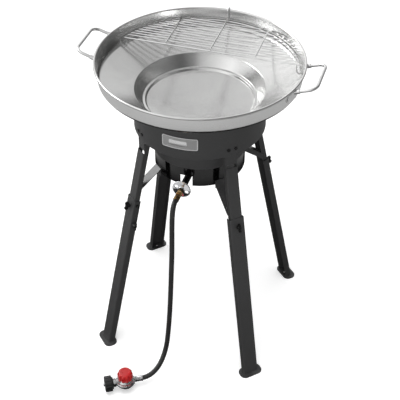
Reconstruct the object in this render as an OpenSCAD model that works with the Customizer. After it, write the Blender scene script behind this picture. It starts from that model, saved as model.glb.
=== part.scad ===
// Comal disc cooker: a wide stainless disc pan with a sunken frying well, set on a
// round gas burner stand with four telescoping legs, a hose and an adjustable regulator.
// Millimetres, +Z up, origin on the ground under the centre of the pan, front at -Y.

/* [Pan] */
// Outer radius of the pan over the rolled rim
pan_r = 280; // [270:1:290]
// Height of the rolled rim above the ground
rim_z = 900; // [895:1:905]
// Height of the pan's outer wall
wall_h = 50; // [40:1:56]
// Radius of the frying well at its top edge
well_r = 174.3; // [168:0.1:176]
// Depth of the well's ledge below the well's top edge
well_depth = 34; // [28:1:40]
// Thickness of the pan's sheet
pan_t = 1.5; // [1.2:0.1:2]
// Diameter of the handle rods
handle_d = 8; // [6:0.5:9]
// Reach of a handle, from the centre of the pan to the middle of its bar
handle_reach = 324; // [315:1:345]

/* [Rack] */
// Distance from the centre of the pan to the rack's straight front wire
rack_front = 94; // [80:1:120]
// Spacing of the rack's wires
rack_pitch = 12.5; // [10:0.5:16]
// Height of the rack's frame wire above the ground
rack_z = 868; // [866:1:872]

/* [Housing] */
// Outer radius of the wind ring
ring_r = 180; // [178:0.5:182]
// Height of the wind ring's lower edge above the ground
ring_z = 702; // [698:1:706]
// Outer radius of the slotted burner bowl
bowl_r = 131.5; // [130:0.5:134]
// Height of the burner bowl's lower edge above the ground
bowl_z = 634; // [630:1:638]
// Outer radius of the base shroud
shroud_r = 126; // [124:0.5:127]
// Height of the base shroud's lower edge above the ground
shroud_z = 574; // [570:1:578]
// Number of air slots around the burner bowl
slot_count = 16; // [8:1:20]

/* [Legs] */
// Width of a lower leg channel
leg_w = 43.7; // [43:0.1:46]
// Depth of a lower leg channel
leg_d = 19.2; // [18:0.1:22]
// Width of an upper leg channel
upper_w = 35; // [33:0.5:35]
// Depth of an upper leg channel
upper_d = 16; // [14:0.5:16.5]
// Thickness of the leg sheet
leg_t = 1.8; // [1.5:0.1:2]
// Radius of the circle on which the outer faces of the legs meet the ground
leg_r0 = 325; // [320:1:330]
// Lean of the legs from upright, in degrees
leg_tilt = 12.09; // [11.5:0.01:12.5]
// Height of a lower leg's top end
lower_top_z = 512; // [500:1:515]
// Height of an upper leg's lower end
upper_low_z = 405; // [380:1:420]
// Height of the clamping wing screws in the leg webs
web_screw_z = 488; // [470:1:495]
// Height of the wing screws in the leg sides
side_screw_z = 437; // [425:1:450]
// Distance of the anchor holes from the centre, along X and along Y
anchor_xy = 220; // [218:1:222]

/* [Gas train] */
// Height of the gas line above the ground
gas_z = 590; // [586:1:594]
// Distance of the air shutter in front of the centre
shutter_y = 168; // [165:1:171]
// Diameter of the air shutter
shutter_d = 52; // [46:1:56]
// Outer diameter of the rubber hose
hose_d = 14; // [13:0.5:14]
// Height of the regulator's pipe line above the ground
reg_z = 28; // [25:1:32]
// Diameter of the regulator's pressure dial
dial_d = 44; // [40:1:48]

/* [Hidden] */
$fn = 48;

steel = [0.80, 0.80, 0.79];
chrome = [0.86, 0.86, 0.87];
coat = [0.16, 0.16, 0.165];
gloss = [0.07, 0.07, 0.075];
brass = [0.72, 0.50, 0.25];
rubber = [0.10, 0.10, 0.10];
red = [0.85, 0.12, 0.12];

// leg azimuths: front left, front right, back left, back right
az_fl = 225;
az_fr = 315;
az_bl = 135;
az_br = 45;
leg_azimuths = [az_fl, az_fr, az_bl, az_br];

touch = 0.02;   // gap left between parts that rest on each other
run = 0.05;     // radial running clearance of a part that turns in a hole
hair = 0.03;    // how much thinner a straight run is than its bends
into = 0.3;     // how far a straight run reaches into a bend

bead_r = 3;
wall_foot_z = rim_z - wall_h;
wall_foot_r = pan_r - 9;
wall_head_r = pan_r - bead_r - 1.6;
well_top_z = rim_z - 86.6;
ledge_z = well_top_z - well_depth;
ledge_out = well_r - 19.3;
ledge_in = ledge_out - 8.6;
dish_r = ledge_in - 2.4;
dish_z = ledge_z - 6;
dish_sag = 9;

ring_t = 1.5;
ring_top_z = well_top_z - 1;
lip_r = ring_r - 4.4;
tab_r = ring_r - ring_t - 0.95;
ring_screw_z = ring_z + 20;
ring_screw_r = 2.5;
ring_screw_step = 3.35;
slot_w = 11;
slot_h = 28;
shroud_top_z = bowl_z - touch;
shroud_bolt_r = 118;
crossbar_bolt_r = 119;

foot_t = 4;
foot_w = 68;
foot_d = 39;
foot_r = 317;
foot_corner = 16;
anchor_r = 3;
upper_x = -(leg_t + 0.3);
screw_r = 3;
screw_gap = 0.3;

brace_w = 29.3;
brace_side = upper_w / 2 + touch;
brace_h = 14;
brace_slope = 38.3;
brace_in_z = 589.3;
brace_web_len = 80;
brace_len = 100;
brace_bolt_z = brace_in_z - 14;

pipe_r = 6.4;
collar_y = shutter_y - 18;
flange_y = 83;
reg_line = 210.3;
reg_x = -104.5;
reg_y = -390.3;
hose_end = -31;
inlet_x = 28.5;
dial_z = reg_z + 13;

// ---------------------------------------------------------------- helpers

function unit(v) = v / norm(v);

// points on an arc, angles in degrees
function arc(c, r, a0, a1, n) =
  [for (i = [0:n]) c + r * [cos(a0 + (a1 - a0) * i / n), sin(a0 + (a1 - a0) * i / n)]];

function left_normal(a, b) = let (d = unit(b - a)) [-d[1], d[0]];

// the corner of a path, moved sideways by t
function moved(path, i, t) =
  let (
    last = len(path) - 1,
    n0 = left_normal(path[max(i - 1, 0)], path[max(i, 1)]),
    n1 = left_normal(path[min(i, last - 1)], path[min(i + 1, last)]),
    m = unit(n0 + n1)
  ) path[i] + m * t / (m * n0);

// closed outline of a sheet of thickness t to the right of a path
function sheet(path, t) =
  concat(path, [for (i = [len(path) - 1:-1:0]) moved(path, i, -t)]);

// outline of a bent channel, web at x = 0, open towards -x
function channel(w, d, t, r) =
  concat(
    [[-d, -w / 2]],
    arc([-r, -w / 2 + r], r, -90, 0, 5),
    arc([-r, w / 2 - r], r, 0, 90, 5),
    [[-d, w / 2], [-d, w / 2 - t]],
    arc([-r, w / 2 - r], r - t, 90, 0, 4),
    arc([-r, -w / 2 + r], r - t, 0, -90, 4),
    [[-d, -w / 2 + t]]
  );

// a level direction at right angles to a unit vector
function square_to(d) = unit(cross(abs(d[2]) > 0.9 ? [0, 1, 0] : [0, 0, 1], d));

// lines up +X and +Z with two directions at right angles, at a point
module axes(p, x, z) {
  y = cross(z, x);
  multmatrix([
    [x[0], y[0], z[0], p[0]],
    [x[1], y[1], z[1], p[1]],
    [x[2], y[2], z[2], p[2]]
  ]) children();
}

// lines up +Z with a direction, at a point
module along(p, d) { axes(p, square_to(unit(d)), unit(d)) children(); }

function turn(p, i) = acos(unit(p[i] - p[i - 1]) * unit(p[i + 1] - p[i]));
function trim(p, i, r) = (i == 0 || i == len(p) - 1) ? 0 : r * tan(turn(p, i) / 2);

// round rod through points p of one plane, with its corners bent to radius bend; the
// straight runs are a hair thinner than the bends and run a little way into them
module rod(p, r, bend) {
  last = len(p) - 1;
  for (i = [0:last - 1]) {
    d = unit(p[i + 1] - p[i]);
    a = p[i] + d * (i == 0 ? 0 : trim(p, i, bend) - into);
    b = p[i + 1] - d * (i == last - 1 ? 0 : trim(p, i + 1, bend) - into);
    along(a, d) cylinder(r = last > 1 ? r - hair : r, h = norm(b - a), $fn = 24);
  }
  for (i = [1:1:len(p) - 2]) {
    d0 = unit(p[i] - p[i - 1]);
    d1 = unit(p[i + 1] - p[i]);
    n = unit(d1 - d0 * (d0 * d1));
    axes(p[i] - d0 * trim(p, i, bend) + n * bend, -n, cross(-n, d0))
      rotate_extrude(angle = turn(p, i), $fn = 96) translate([bend, 0]) circle(r, $fn = 24);
  }
}

// a tube or ring about Z
module ring(r_out, r_in, z0, z1) {
  translate([0, 0, z0]) difference() {
    cylinder(r = r_out, h = z1 - z0, $fn = 120);
    translate([0, 0, -1]) cylinder(r = r_in, h = z1 - z0 + 2, $fn = 120);
  }
}

// a cylinder that points forward (-Y) from y0 to y1, both given as distances in front
module forward(r, y0, y1, sides = 48) {
  translate([0, -y0, gas_z]) rotate([90, 0, 0]) cylinder(r = r, h = y1 - y0, $fn = sides);
}

// places children in a leg's own frame: x outward through the web, y sideways, z up the leg
module leg_frame(a) {
  rotate([0, 0, a]) translate([leg_r0, 0, 0]) rotate([0, -leg_tilt, 0]) children();
}

function up_leg(z) = z / cos(leg_tilt);

// ---------------------------------------------------------------- pan

// upper surface of the pan, from the centre to the rim
function pan_path() =
  concat(
    [for (i = [0:6]) [dish_r * i / 6, dish_z - dish_sag * (1 - pow(i / 6, 2))]],
    [[ledge_in, ledge_z - 1], [ledge_in + 1.2, ledge_z], [ledge_out - 2, ledge_z + 0.4]],
    [[ledge_out + 1, ledge_z + 2.5]],
    [[well_r - 1.5, well_top_z - 3], [well_r + 2.5, well_top_z + 0.4]],
    arc([wall_foot_r - 13.5, wall_foot_z + 9.5], 12, -68, -5, 5),
    [[wall_head_r - pan_t, rim_z - 5], [wall_head_r - pan_t, rim_z - bead_r]]
  );

module comal_pan() {
  color(steel) union() {
    rotate_extrude($fn = 180) polygon(sheet(pan_path(), pan_t));
    translate([0, 0, rim_z - bead_r])
      rotate_extrude($fn = 180) translate([pan_r - bead_r, 0]) circle(bead_r, $fn = 24);
  }
}

handle_y = 64;               // half the length of a handle's bar
handle_root_z = rim_z - 10.5; // where a handle's rods end in their bosses
handle_top_z = rim_z + 4;
handle_bend = 22;
bracket_x = sqrt(pow(wall_head_r, 2) - pow(handle_y, 2));
handle_root_x = bracket_x + 9;
handle_dir = unit([handle_reach - handle_root_x, 0, handle_top_z - handle_root_z]);

module handle(side) {
  color(chrome) rotate([0, 0, side])
    rod([
      [handle_root_x, -handle_y, handle_root_z],
      [handle_reach, -handle_y, handle_top_z],
      [handle_reach, handle_y, handle_top_z],
      [handle_root_x, handle_y, handle_root_z]
    ], handle_d / 2, handle_bend);
}
module handle_right() { handle(0); }
module handle_left() { handle(180); }

module handle_brackets() {
  plate_az = 15.5;
  color(chrome) for (side = [0, 180], s = [-1, 1]) rotate([0, 0, side]) difference() {
    root = [handle_root_x, s * handle_y, handle_root_z];
    union() {
      rotate([0, 0, s * plate_az]) translate([wall_head_r - 8, -19, rim_z - 32])
        cube([10.5, 38, 24]);
      along(root - 12 * handle_dir, handle_dir) cylinder(r = handle_d / 2 + 1.8, h = 18);
    }
    translate([0, 0, wall_foot_z - 0.5])
      cylinder(r1 = wall_foot_r + 0.4, r2 = wall_head_r + 0.4, h = wall_h, $fn = 180);
    // room for the rolled rim
    translate([0, 0, rim_z - 2 * bead_r - 0.3]) cylinder(r = pan_r + 0.3, h = 20, $fn = 180);
    along(root - 0.5 * handle_dir, handle_dir) cylinder(r = handle_d / 2 + touch, h = 40);
  }
}

// ---------------------------------------------------------------- rack

rack_r = wall_foot_r - 7;
frame_wire_r = 2;
wire_r = 1.5;
cross_wire_r = 1.75;
rack_half = sqrt(pow(rack_r, 2) - pow(rack_front, 2));
rack_az = atan2(rack_front, rack_half);
wire_z = rack_z + frame_wire_r + wire_r + touch;
cross_z = wire_z + wire_r + cross_wire_r + touch;

module rack_frame() {
  foot_low = wall_foot_z - 2.2;
  knot_r = frame_wire_r + 0.6;
  color(chrome) union() {
    translate([0, 0, rack_z]) rotate([0, 0, rack_az])
      rotate_extrude(angle = 180 - 2 * rack_az, $fn = 180)
        translate([rack_r, 0]) circle(frame_wire_r, $fn = 24);
    // welds where the front wire meets the bow
    for (s = [-1, 1]) translate([s * rack_half, rack_front, rack_z - frame_wire_r - 0.3])
      cylinder(r = knot_r, h = 2 * frame_wire_r + 0.6);
    rod([[-rack_half, rack_front, rack_z], [rack_half, rack_front, rack_z]], frame_wire_r, 0);
    for (s = [-1, 1]) translate([s * (rack_half - 7), rack_front, foot_low])
      cylinder(r = frame_wire_r - 0.2, h = rack_z - foot_low + 0.5, $fn = 24);
  }
}

module rack_wires() {
  color(chrome) for (i = [1:12]) {
    y = rack_front + i * rack_pitch;
    half = sqrt(pow(rack_r + 1, 2) - y * y);
    rod([[-half, y, wire_z], [half, y, wire_z]], wire_r, 5);
  }
}

module rack_cross_wires() {
  side_x = 126;
  hook_r = pan_r + cross_wire_r + 1.2;
  hook_z = rim_z + cross_wire_r + 0.6;
  color(chrome) {
    for (s = [-1, 1])
      rod([[s * side_x, rack_front - 1, cross_z],
        [s * side_x, sqrt(pow(rack_r + 1, 2) - side_x * side_x), cross_z]], cross_wire_r, 5);
    rod([
      [0, rack_front - 1, cross_z], [0, rack_r - 1.5, cross_z], [0, rack_r + 1.5, hook_z],
      [0, hook_r, hook_z], [0, hook_r, hook_z - 9]
    ], cross_wire_r, 3.2);
  }
}

// ---------------------------------------------------------------- housing

// holes for the screws that hold the legs to the wind ring
module ring_screw_holes(r0, r1) {
  for (a = leg_azimuths, s = [-1, 1]) rotate([0, 0, a + s * ring_screw_step])
    translate([r0, 0, ring_screw_z]) rotate([0, 90, 0])
      cylinder(r = ring_screw_r + run, h = r1 - r0);
}

module wind_ring() {
  color(coat) difference() {
    union() {
      ring(ring_r, ring_r - ring_t, ring_z, ring_top_z - 1.2);
      translate([0, 0, ring_top_z - 1.2]) rotate_extrude($fn = 120)
        translate([ring_r - 1.2, 0]) circle(1.2, $fn = 20);
    }
    ring_screw_holes(ring_r - 5, ring_r + 5);
  }
}

plate_h = 36;
plate_half = 15.6;
plate_z = 750;

module name_plate() {
  c = 5;
  hw = ring_r * sin(plate_half);
  color([0.72, 0.72, 0.72]) intersection() {
    ring(ring_r + 1.3, ring_r + touch, plate_z - plate_h, plate_z + plate_h);
    translate([0, 0, plate_z]) rotate([90, 0, 0]) linear_extrude(ring_r + 10) polygon(concat(
      arc([hw - c, plate_h / 2 - c], c, 0, 90, 6), arc([-hw + c, plate_h / 2 - c], c, 90, 180, 6),
      arc([-hw + c, -plate_h / 2 + c], c, 180, 270, 6), arc([hw - c, -plate_h / 2 + c], c, 270, 360, 6)
    ));
  }
}

module ring_screws() {
  color(gloss) for (a = leg_azimuths, s = [-1, 1]) rotate([0, 0, a + s * ring_screw_step])
    translate([0, 0, ring_screw_z]) rotate([0, 90, 0]) {
      translate([0, 0, lip_r - 8]) cylinder(r = ring_screw_r, h = 14);
      translate([0, 0, ring_r + 0.12]) cylinder(r = 4.6, h = 2.2);
      translate([0, 0, lip_r - 7]) cylinder(r = 4.6, h = 4.6, $fn = 6);
    }
}

module bolts_down(count, r, first, z, shank, head_r = 4.6) {
  for (i = [0:count - 1]) rotate([0, 0, first + i * 360 / count]) translate([r, 0, z]) {
    translate([0, 0, -shank]) cylinder(r = 2.5, h = shank + 1);
    cylinder(r = head_r, h = 3.4, $fn = 6);
    translate([0, 0, -shank + 0.5]) cylinder(r = head_r, h = 3.2, $fn = 6);
  }
}

module bolt_holes(count, r, first, z0, z1) {
  for (i = [0:count - 1]) rotate([0, 0, first + i * 360 / count]) translate([r, 0, z0])
    cylinder(r = 2.5 + run, h = z1 - z0);
}

module burner_bowl() {
  t = ring_t;
  color(coat) difference() {
    rotate_extrude($fn = 120) polygon(concat(
      [[lip_r - t, ring_z + 30], [lip_r - t, ring_z + t]],
      [[bowl_r - t, ring_z + t], [bowl_r - t, bowl_z + t], [112, bowl_z + t], [112, bowl_z]],
      [[bowl_r, bowl_z], [bowl_r, ring_z], [lip_r, ring_z], [lip_r, ring_z + 30]]
    ));
    for (i = [0:slot_count - 1]) rotate([0, 0, -90 + (i + 0.5) * 360 / slot_count])
      translate([bowl_r - 6, -slot_w / 2, ring_z - 2 - slot_h]) cube([12, slot_w, slot_h]);
    ring_screw_holes(lip_r - 5, lip_r + 5);
    bolt_holes(4, shroud_bolt_r, 0, bowl_z - 1, bowl_z + 3);
    bolt_holes(2, crossbar_bolt_r, 45, bowl_z - 1, bowl_z + 3);
  }
}

module base_shroud() {
  t = ring_t;
  color(gloss) difference() {
    rotate_extrude($fn = 120) polygon([
      [shroud_r - t, shroud_z], [shroud_r, shroud_z], [shroud_r, shroud_top_z],
      [112, shroud_top_z], [112, shroud_top_z - t], [shroud_r - t, shroud_top_z - t]
    ]);
    translate([-17, -shroud_r - 5, shroud_z - 1]) cube([34, 20, gas_z - shroud_z + 17]);
    bolt_holes(4, shroud_bolt_r, 0, shroud_top_z - 4, shroud_top_z + 1);
    bolt_holes(2, crossbar_bolt_r, 45, shroud_top_z - 4, shroud_top_z + 1);
    for (a = leg_azimuths) rotate([0, 0, a]) translate([shroud_r - 8, -5, brace_bolt_z])
      rotate([0, 90, 0]) cylinder(r = 2.5 + run, h = 16);
  }
}

module shroud_bolts() {
  color(gloss) bolts_down(4, shroud_bolt_r, 0, bowl_z + ring_t + touch, 8);
}

// ---------------------------------------------------------------- burner

head_z = 656;

module burner_head() {
  ports = 20;
  color([0.2, 0.2, 0.2]) difference() {
    translate([0, 0, head_z + touch]) rotate_extrude($fn = 96) polygon([
      [13, 0], [30, 0], [34, 8], [55, 14], [56, 26], [40, 34], [12, 38], [0, 38],
      [0, 32], [38, 29], [50, 24], [50, 18], [30, 13], [13, 11]
    ]);
    for (i = [0:ports - 1]) rotate([0, 0, i * 360 / ports]) translate([44, 0, head_z + 21])
      rotate([0, 90, 0]) cylinder(r = 1.6, h = 16, $fn = 16);
  }
}

module burner_pipe() {
  color([0.13, 0.13, 0.13]) difference() {
    union() {
      forward(pipe_r, 0, collar_y - touch);
      forward(13, 0, flange_y);
      translate([-16, -flange_y, gas_z - 13]) cube([32, 3, 26]);
      translate([0, 0, gas_z - 15]) cylinder(r = 16, h = head_z - gas_z + 12);
      translate([0, 0, head_z - 4]) cylinder(r = 28, h = 4);
    }
    forward(pipe_r - 1.6, -2, collar_y + 1);
    translate([0, 0, gas_z - 9]) cylinder(r = 11, h = head_z - gas_z + 20);
  }
}

module burner_crossbar() {
  low = bowl_z + ring_t + touch;
  color(coat) difference() {
    union() {
      rotate([0, 0, 45]) translate([-126, -15, low]) cube([252, 30, 3]);
      translate([0, 0, low]) cylinder(r = 25, h = 3);
    }
    translate([0, 0, low - 1]) cylinder(r = 16.1, h = 5);
    bolt_holes(2, crossbar_bolt_r, 45, low - 1, low + 4);
  }
}

module crossbar_bolts() {
  color(gloss) bolts_down(2, crossbar_bolt_r, 45, bowl_z + ring_t + 3 + 2 * touch, 11);
}

module stay_rods() {
  color(chrome) for (s = [-1, 1]) translate([s * 8.3, 0, 0])
    forward(1.6, flange_y + touch, collar_y - touch, 20);
}

module shutter_collar() {
  ribs = 4;
  long = shutter_y - 3 - collar_y;
  color([0.1, 0.1, 0.1]) difference() {
    union() {
      forward(9.5, collar_y, collar_y + long);
      for (i = [0:ribs - 1])
        forward(11, collar_y + i * long / ribs, collar_y + (i + 0.55) * long / ribs);
    }
    forward(6 + touch, collar_y - 1, collar_y + long + 1);
  }
}

module orifice_spud() {
  color([0.17, 0.15, 0.12]) {
    difference() {
      union() {
        forward(6, collar_y + touch, shutter_y + 16);
        forward(8.4, shutter_y + 4.5, shutter_y + 8);
        for (i = [0:2]) forward(6.9, shutter_y + 9.2 + i * 2.2, shutter_y + 10.4 + i * 2.2);
      }
      forward(1.2, collar_y, shutter_y + 17);
    }
  }
}

module air_shutter() {
  hole_at = 15.7;
  color(chrome) difference() {
    union() {
      forward(shutter_d / 2, shutter_y - 2, shutter_y - 0.4, 96);
      forward(shutter_d / 2 - 3, shutter_y - 2.6, shutter_y + 0.6, 96);
      forward(9, shutter_y - 2.6, shutter_y + 4);
    }
    forward(6 + run, shutter_y - 4, shutter_y + 6);
    for (s = [-1, 1]) translate([0, -shutter_y + 6, gas_z]) rotate([90, -25, 0])
      translate([s * hole_at, 0, 0]) cylinder(r = 5.6, h = 12);
  }
}

module orifice_fitting() {
  color(brass) difference() {
    union() {
      forward(8.8, shutter_y + 16 + touch, shutter_y + 27, 6);
      forward(6.6, shutter_y + 27 - 1, shutter_y + 31);
    }
    forward(1.6, shutter_y + 15, shutter_y + 32);
  }
}

module hose_nut() {
  color([0.42, 0.30, 0.14]) difference() {
    union() {
      forward(8.6, shutter_y + 31 + touch, shutter_y + 39, 6);
      forward(8, shutter_y + 38, shutter_y + 50);
    }
    forward(3, shutter_y + 30, shutter_y + 51);
    forward(hose_d / 2 + 0.1, shutter_y + 41, shutter_y + 51);
  }
}

// ---------------------------------------------------------------- hose

function bezier(a, b, c, d, t) =
  pow(1 - t, 3) * a + 3 * t * pow(1 - t, 2) * b + 3 * t * t * (1 - t) * c + pow(t, 3) * d;

reg_dir = [cos(reg_line), sin(reg_line), 0];
reg_at = [reg_x, reg_y, reg_z];
hose_start = [0, -(shutter_y + 42), gas_z];
hose_exit = hose_start - [0, 10, 0];
hose_knee = [0, -262, gas_z - 189];
hose_low = [-9, -287, reg_z + 102];
hose_mouth = reg_at - 48.1 * reg_dir;
knee_dir = unit([0, -0.14, -1]);
low_dir = unit([-0.09, -0.05, -1]);
hose_steps = 14;

// centre line of the hose, from the valve to inside the ferrule
function hose_path() =
  concat(
    [hose_start],
    [for (i = [0:hose_steps - 1]) bezier(hose_exit, hose_exit + [0, -42, 0],
      hose_knee - 110 * knee_dir, hose_knee, i / hose_steps)],
    [for (i = [0:hose_steps - 1]) bezier(hose_knee, hose_knee + 100 * knee_dir,
      hose_low - 90 * low_dir, hose_low, i / hose_steps)],
    [for (i = [0:hose_steps]) bezier(hose_low, hose_low + 58 * low_dir,
      hose_mouth - 52 * reg_dir, hose_mouth, i / hose_steps)],
    [reg_at + hose_end * reg_dir]
  );

// round section of radius r about each point of a path
function tube_points(path, r, sides) = [
  for (i = [0:len(path) - 1])
    let (
      d = unit(path[min(i + 1, len(path) - 1)] - path[max(i - 1, 0)]),
      n = unit([0, d[2], -d[1]]),
      m = cross(d, n)
    ) for (k = [0:sides - 1]) path[i] + r * (cos(360 * k / sides) * n + sin(360 * k / sides) * m)
];

function tube_faces(stations, sides) =
  concat(
    [[for (k = [0:sides - 1]) k]],
    [for (i = [0:stations - 2], k = [0:sides - 1]) let (j = (k + 1) % sides)
      [i * sides + k, (i + 1) * sides + k, (i + 1) * sides + j, i * sides + j]],
    [[for (k = [sides - 1:-1:0]) (stations - 1) * sides + k]]
  );

module gas_hose() {
  sides = 16;
  path = hose_path();
  color(rubber) polyhedron(points = tube_points(path, hose_d / 2, sides),
    faces = tube_faces(len(path), sides), convexity = 6);
}

// ---------------------------------------------------------------- regulator

// places children in the regulator's frame: x along the pipe line towards the tank
module reg_frame() { translate(reg_at) rotate([0, 0, reg_line]) children(); }

module reg_pipe(r, x0, x1, sides = 48) {
  translate([x0, 0, 0]) rotate([0, 90, 0]) cylinder(r = r, h = x1 - x0, $fn = sides);
}

module hose_ferrule() {
  color(chrome) reg_frame() difference() {
    union() {
      reg_pipe(8.4, -50, hose_end);
      for (i = [0:3]) reg_pipe(8.9, -48.5 + i * 4.6, -46 + i * 4.6);
    }
    reg_pipe(hose_d / 2 + 0.15, -51, hose_end + 1);
  }
}

module regulator_body() {
  color([0.72, 0.72, 0.70]) reg_frame() difference() {
    union() {
      rotate_extrude($fn = 96) polygon([
        [0, -19], [14, -19], [20, -14], [22, -5], [27, -3], [28, -1.5], [28, 1.5], [27, 3],
        [20, 4.5], [16, 8], [13, 11], [0, 11]
      ]);
      reg_pipe(8.2, hose_end + touch, 0);
      reg_pipe(10.5, 0, inlet_x);
      // stem that carries the dial
      cylinder(r = 5, h = dial_z - reg_z + 7);
    }
    reg_pipe(3.5, hose_end - 1, inlet_x + 1);
    for (i = [0:5]) rotate([0, 0, 30 + i * 60]) translate([24.2, 0, -5])
      cylinder(r = 1.5 + run, h = 10, $fn = 16);
  }
}

module regulator_screws() {
  color(chrome) reg_frame() for (i = [0:5]) rotate([0, 0, 30 + i * 60]) translate([24.2, 0, 0]) {
    translate([0, 0, -4.5]) cylinder(r = 1.5, h = 9, $fn = 16);
    translate([0, 0, 4.25]) cylinder(r = 2.4, h = 1.6, $fn = 24);
  }
}

module regulator_dial() {
  lobes = 10;
  color(red) translate([reg_x, reg_y, dial_z]) difference() {
    rotate_extrude($fn = 96) polygon(concat(
      [[0, 0], [dial_d / 2 - 1.5, 0], [dial_d / 2, 1.5], [dial_d / 2 - 0.4, 13]],
      arc([dial_d / 2 - 8, 17], 7, 0, 80, 5),
      [[6, 26], [0, 26]]
    ));
    for (i = [0:lobes - 1]) rotate([0, 0, i * 360 / lobes]) translate([dial_d / 2 + 2.6, 0, -1])
      cylinder(r = 4.6, h = 30, $fn = 32);
    translate([0, 0, -1]) cylinder(r = 5 + run, h = 9);
  }
}

module regulator_inlet() {
  color([0.66, 0.66, 0.64]) reg_frame() difference() {
    union() {
      reg_pipe(9, inlet_x + touch, 56);
      reg_pipe(12.5, inlet_x + touch, 35, 6);
      reg_pipe(14.5, 48, 53);
      reg_pipe(5.5, 53, 64);
    }
    reg_pipe(2.2, inlet_x - 1, 65);
  }
}

// threaded nut that screws onto the gas bottle's valve
module tank_nut() {
  lobes = 12;
  color(rubber) reg_frame() difference() {
    union() {
      reg_pipe(22.9, 38, 60);
      reg_pipe(17, 36, 39);
    }
    for (i = [0:lobes - 1]) rotate([i * 360 / lobes, 0, 0]) translate([0, 0, 25.2])
      reg_pipe(3.9, 40.5, 62, 32);
    reg_pipe(9 + run, 35, 61);
    reg_pipe(17.5, 46, 61);
  }
}

// ---------------------------------------------------------------- legs

module below(z) { translate([-500, -500, z - 200]) cube([1000, 1000, 200]); }
module above(z) { translate([-500, -500, z]) cube([1000, 1000, 300]); }

module upper_leg(a) {
  low = up_leg(upper_low_z);
  bend_z = (leg_r0 + upper_x - tab_r) / tan(leg_tilt) + 3;
  tab_t = leg_t;
  color(coat) difference() {
    union() {
      difference() {
        leg_frame(a) translate([upper_x, 0, low]) linear_extrude(330)
          polygon(channel(upper_w, upper_d, leg_t, 2.6));
        above(ring_z - 2);
        // the web leaves the channel where it bends upright
        rotate([0, 0, a]) translate([tab_r - 11, -upper_w / 2 + 3, bend_z])
          cube([18, upper_w - 6, 60]);
        rotate([0, 0, a]) translate([tab_r, -30, bend_z - 20]) cube([20, 60, 80]);
      }
      rotate([0, 0, a]) translate([tab_r - tab_t, -upper_w / 2, bend_z - 9])
        cube([tab_t, upper_w, ring_screw_z + 13 - bend_z + 9]);
    }
    ring_screw_holes(tab_r - 6, tab_r + 3);
    // chamfered lower ends of the sides
    leg_frame(a) translate([upper_x - upper_d - 4, -30, low - 8]) rotate([0, 40, 0])
      cube([20, 60, 12]);
  }
}
module upper_leg_front_left() { upper_leg(az_fl); }
module upper_leg_front_right() { upper_leg(az_fr); }
module upper_leg_back_left() { upper_leg(az_bl); }
module upper_leg_back_right() { upper_leg(az_br); }

// angle-section brace from the shroud down to the side of an upper leg
module brace(a) {
  color(coat) rotate([0, 0, a]) difference() {
    union() {
      translate([shroud_r, 0, brace_in_z]) rotate([0, brace_slope, 0]) {
        translate([1.2, -brace_side - leg_t, -leg_t]) cube([brace_web_len, brace_w, leg_t]);
        translate([1.2, -brace_side - leg_t, -brace_h]) cube([brace_len, leg_t, brace_h]);
      }
      translate([shroud_r + touch, -brace_side - leg_t, brace_in_z - 26])
        cube([leg_t, brace_w, 25.5]);
    }
    translate([0, 0, brace_in_z - 40]) cylinder(r = shroud_r + touch, h = 80, $fn = 120);
    translate([shroud_r - 5, -5, brace_bolt_z]) rotate([0, 90, 0]) cylinder(r = 2.5 + run, h = 16);
    translate([shroud_r + 60, -40, 480]) cube([60, 80, 38]);
  }
}
module brace_front_left() { brace(az_fl); }
module brace_front_right() { brace(az_fr); }
module brace_back_left() { brace(az_bl); }
module brace_back_right() { brace(az_br); }

module brace_bolts() {
  color(gloss) for (a = leg_azimuths) rotate([0, 0, a])
    translate([shroud_r, -5, brace_bolt_z]) rotate([0, 90, 0]) {
      translate([0, 0, -8]) cylinder(r = 2.5, h = 11);
      translate([0, 0, leg_t + 2 * touch]) cylinder(r = 4.6, h = 3, $fn = 6);
      translate([0, 0, -6.2]) cylinder(r = 4.6, h = 4.2, $fn = 6);
    }
}

module web_screw_at(a) { leg_frame(a) translate([0, 0, up_leg(web_screw_z)]) children(); }
module side_screw_at(a) {
  leg_frame(a) translate([-leg_d / 2, leg_w / 2, up_leg(side_screw_z)]) rotate([0, 0, 90]) children();
}
module guide_bolt_at(a) {
  leg_frame(a) translate([-leg_d / 2, leg_w / 2, up_leg(lower_top_z) - 14]) rotate([0, 0, 90])
    children();
}

module lower_leg(a, side) {
  color(coat) difference() {
    leg_frame(a) translate([0, 0, -12]) linear_extrude(up_leg(lower_top_z) + 12)
      polygon(channel(leg_w, leg_d, leg_t, 2.8));
    below(foot_t + touch);
    web_screw_at(a) translate([-6, 0, 0]) rotate([0, 90, 0]) cylinder(r = screw_r + run, h = 12);
    if (side) {
      side_screw_at(a) translate([-6, 0, 0]) rotate([0, 90, 0]) cylinder(r = screw_r + run, h = 12);
      guide_bolt_at(a) translate([-6, 0, 0]) rotate([0, 90, 0]) cylinder(r = 2 + run, h = 12);
    }
  }
}
module lower_leg_front_left() { lower_leg(az_fl, true); }
module lower_leg_front_right() { lower_leg(az_fr, false); }
module lower_leg_back_left() { lower_leg(az_bl, false); }
module lower_leg_back_right() { lower_leg(az_br, true); }

function corner_arcs(w, d, c) = concat(
  arc([d / 2 - c, w / 2 - c], c, 0, 90, 8), arc([-d / 2 + c, w / 2 - c], c, 90, 180, 8),
  arc([-d / 2 + c, -w / 2 + c], c, 180, 270, 8), arc([d / 2 - c, -w / 2 + c], c, 270, 360, 8)
);

module foot(a) {
  color(gloss) difference() {
    rotate([0, 0, a]) translate([foot_r, 0, 0])
      linear_extrude(foot_t) polygon(corner_arcs(foot_w, foot_d, foot_corner));
    translate([sign(cos(a)) * anchor_xy, sign(sin(a)) * anchor_xy, -1])
      cylinder(r = anchor_r, h = foot_t + 2);
  }
}
module foot_front_left() { foot(az_fl); }
module foot_front_right() { foot(az_fr); }
module foot_back_left() { foot(az_bl); }
module foot_back_right() { foot(az_br); }

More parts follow.
